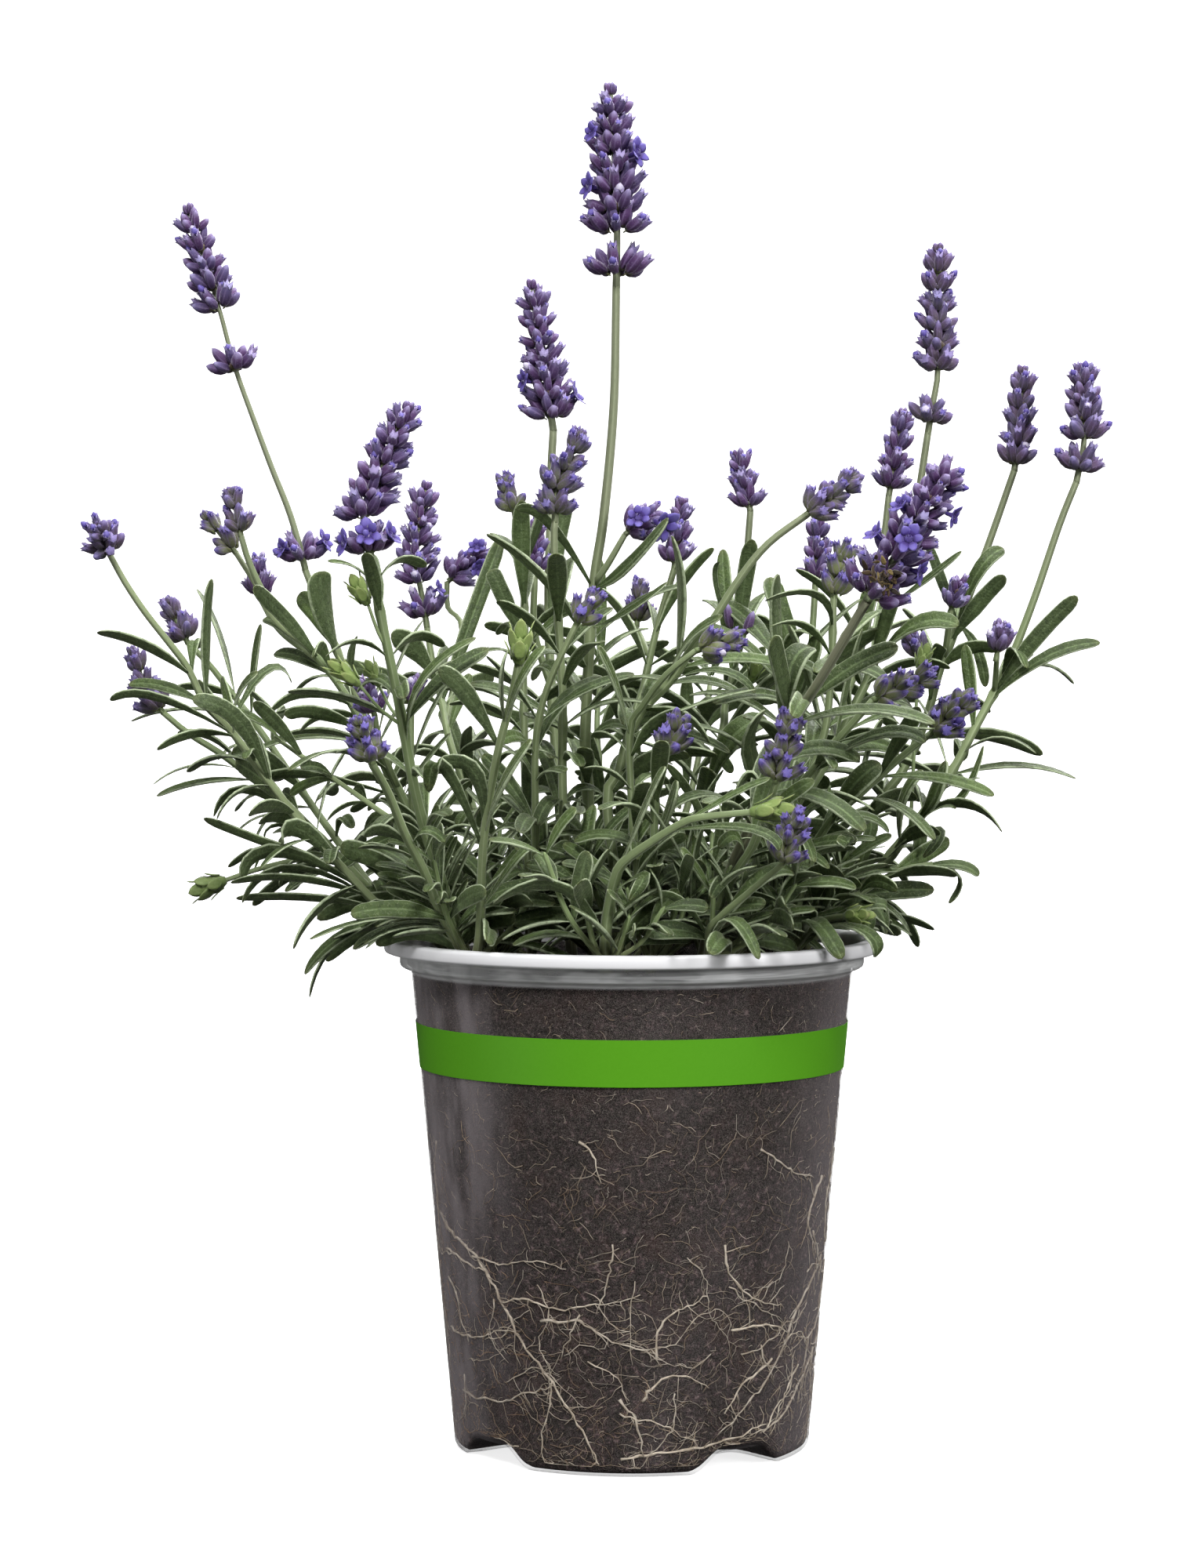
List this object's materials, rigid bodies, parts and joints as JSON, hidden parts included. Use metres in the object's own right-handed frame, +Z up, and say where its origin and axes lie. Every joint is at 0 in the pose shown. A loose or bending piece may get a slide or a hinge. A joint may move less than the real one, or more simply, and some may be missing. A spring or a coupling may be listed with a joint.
{
  "type": "potted lavender",
  "caption": "Lavender plant with purple flower spikes and grey-green leaves, growing in a clear plastic nursery pot with a green stripe.",
  "frame": {"origin": "middle of the pot's underside, on the plane that the pot stands on", "axes": "+Z up along the pot's axis, -Y towards the viewer of the picture, +X to their right"},
  "size_m": [0.2348, 0.192, 0.3142],
  "materials": {
    "clear_plastic": "clear thin plastic, slightly cloudy at the rim",
    "soil": null,
    "foliage": null,
    "flower": null
  },
  "bodies": {
    "root": {"pot": "clear_plastic", "root_ball": "soil", "stems_centre_tall": "foliage", "stems_left_back": "foliage", "stems_left_front": "foliage", "stems_front_left": "foliage", "stems_front_centre": "foliage", "stems_front_middle": "foliage", "stems_right_front_low": "foliage", "stems_right_front": "foliage", "stems_right_low": "foliage", "stems_far_right": "foliage", "stems_right_back": "foliage", "stems_right_tall": "foliage", "stems_back_right": "foliage", "stems_centre_front": "foliage", "stems_back_centre": "foliage", "stems_back_left": "foliage", "stems_left_centre": "foliage", "stems_far_left_front": "foliage", "stems_far_left_back": "foliage", "stems_left": "foliage", "stems_broad_right": "foliage", "stems_back": "foliage", "flower_spike_01": "flower", "flower_spike_02": "flower", "flower_spike_03": "flower", "flower_spike_04": "flower", "flower_spike_05": "flower", "flower_spike_06": "flower", "flower_spike_07": "flower", "flower_spike_08": "flower", "flower_spike_09": "flower", "flower_spike_10": "flower", "flower_spike_11": "flower", "flower_spike_12": "flower", "flower_spike_13": "flower", "flower_spike_14": "flower", "flower_spike_15": "flower", "flower_spike_16": "flower", "flower_spike_17": "flower", "flower_spike_18": "flower", "flower_spike_19": "flower", "flower_spike_20": "flower", "flower_spike_21": "flower", "flower_spike_22": "flower", "flower_spike_23": "flower", "flower_spike_24": "flower", "flower_spike_25": "flower", "flower_spike_26": "flower", "flower_spike_27": "flower", "flower_spike_28": "flower", "flower_spike_29": "flower", "flower_spike_30": "flower", "flower_spike_31": "flower", "flower_spike_32": "flower", "flower_spike_33": "flower", "flower_spike_34": "flower", "flower_spike_35": "flower", "flower_spike_36": "flower"}
  },
  "joints": []
}
